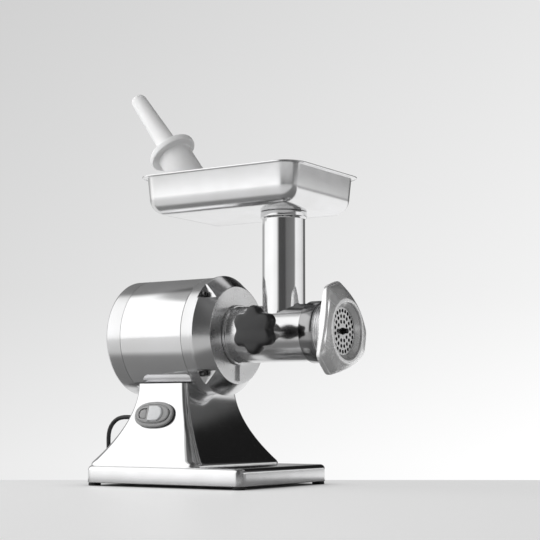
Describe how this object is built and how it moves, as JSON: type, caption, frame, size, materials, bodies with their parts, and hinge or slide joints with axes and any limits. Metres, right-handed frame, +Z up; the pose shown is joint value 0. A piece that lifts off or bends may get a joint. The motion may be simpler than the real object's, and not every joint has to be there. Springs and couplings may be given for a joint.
{
  "type": "electric meat grinder",
  "caption": "Countertop electric meat grinder: motor drum on a flared cast base, clamped grinding head with ring nut, feed tube, pan and pusher, two-button switch.",
  "frame": {"origin": "bottom centre of the machine's box, on the floor under the feet, the cord left out", "axes": "+Z up, -Y towards the outlet of the grinding head, +Y towards the cord, -X the side with the switch and the locking knob"},
  "size_m": [0.303, 0.4542, 0.5473],
  "materials": {
    "cast_aluminium": "smooth bright casting, satin",
    "polished_steel": "polished",
    "brushed_steel": "fine satin",
    "dark_steel": "oiled, dark",
    "zinc_steel": "machined",
    "copper": "enamelled copper wire",
    "black_plastic": "semi-gloss moulding",
    "grey_plastic": "satin moulding",
    "white_plastic": "food-safe plastic",
    "black_rubber": "moulded rubber",
    "cord_jacket": "smooth flexible jacket"
  },
  "bodies": {
    "base": {"base_casting": "cast_aluminium", "base_plate": "zinc_steel", "cable_gland": "black_rubber", "cord_coil": "cord_jacket", "cover_screw_1": "dark_steel", "cover_screw_2": "dark_steel", "cover_screw_3": "dark_steel", "cover_screw_4": "dark_steel", "foot_1": "black_rubber", "foot_2": "black_rubber", "foot_3": "black_rubber", "foot_4": "black_rubber", "foot_screw_1": "zinc_steel", "foot_screw_2": "zinc_steel", "foot_screw_3": "zinc_steel", "foot_screw_4": "zinc_steel", "front_bearing": "zinc_steel", "front_cover": "polished_steel", "gearbox_plate": "cast_aluminium", "layshaft_arm": "cast_aluminium", "mains_plug": "cord_jacket", "motor_tube": "brushed_steel", "neck_sleeve": "polished_steel", "oil_seal": "black_rubber", "output_bearing": "zinc_steel", "plug_pin_1": "zinc_steel", "plug_pin_2": "zinc_steel", "power_cord": "cord_jacket", "rear_bearing": "zinc_steel", "rear_cover": "polished_steel", "run_capacitor": "grey_plastic", "stator_core": "dark_steel", "switch_bezel": "grey_plastic", "switch_body": "black_plastic", "terminal_block": "white_plastic", "winding_front": "copper", "winding_rear": "copper"},
    "stop_button": {"stop_button": "grey_plastic"},
    "start_button": {"start_button": "white_plastic"},
    "rotor": {"rotor_core": "dark_steel", "rotor_shaft": "zinc_steel", "motor_pinion": "zinc_steel", "cooling_fan": "black_plastic"},
    "layshaft": {"layshaft": "zinc_steel", "layshaft_gear": "zinc_steel", "layshaft_pinion": "zinc_steel"},
    "output": {"output_shaft": "zinc_steel", "output_gear": "zinc_steel"},
    "lock": {"lock_knob": "black_plastic", "lock_stud": "zinc_steel"},
    "head": {"grinder_barrel": "polished_steel", "feed_tube": "polished_steel", "perforated_plate": "brushed_steel"},
    "auger": {"auger": "polished_steel", "cutting_knife": "brushed_steel", "thrust_washer": "brushed_steel"},
    "nut": {"ring_nut": "polished_steel"},
    "tray": {"tray": "brushed_steel", "tray_spigot": "brushed_steel"},
    "pusher": {"pusher": "white_plastic"}
  },
  "joints": [
    {"name": "stop_press", "type": "slide", "parent": "base", "child": "stop_button", "axis": [0.9473, 0, -0.3205], "range_m": [0, 0.003], "stiffness_N_per_m": 400},
    {"name": "start_press", "type": "slide", "parent": "base", "child": "start_button", "axis": [0.9473, 0, -0.3205], "range_m": [0, 0.003], "stiffness_N_per_m": 400},
    {"name": "rotor_spin", "type": "hinge", "parent": "base", "child": "rotor", "pos_m": [0, 0.1, 0.201], "axis": [0, 1, 0], "continuous": true},
    {"name": "layshaft_spin", "type": "hinge", "parent": "base", "child": "layshaft", "pos_m": [0, 0.038, 0.173], "axis": [0, 1, 0], "continuous": true},
    {"name": "output_spin", "type": "hinge", "parent": "base", "child": "output", "pos_m": [0, 0.02, 0.201], "axis": [0, 1, 0], "continuous": true},
    {"name": "knob_turn", "type": "hinge", "parent": "base", "child": "lock", "pos_m": [-0.075, -0.08, 0.201], "axis": [-1, 0, 0], "range_deg": [0, 810]},
    {"name": "head_slide", "type": "slide", "parent": "base", "child": "head", "axis": [0, -1, 0], "range_m": [0, 0.13]},
    {"name": "auger_spin", "type": "hinge", "parent": "head", "child": "auger", "pos_m": [0, -0.08, 0.201], "axis": [0, 1, 0], "continuous": true},
    {"name": "nut_turn", "type": "hinge", "parent": "head", "child": "nut", "pos_m": [0, -0.16, 0.201], "axis": [0, -1, 0], "range_deg": [0, 1350]},
    {"name": "tray_lift", "type": "slide", "parent": "head", "child": "tray", "axis": [0, 0, 1], "range_m": [0, 0.05]},
    {"name": "pusher_lift", "type": "slide", "parent": "tray", "child": "pusher", "axis": [0, 0.5976, 0.8018], "range_m": [0, 0.1]}
  ],
  "couplings": [
    {"joint": "layshaft_spin", "follows": "rotor_spin", "ratio": -0.33333},
    {"joint": "output_spin", "follows": "rotor_spin", "ratio": 0.11111},
    {"joint": "auger_spin", "follows": "rotor_spin", "ratio": 0.11111}
  ]
}
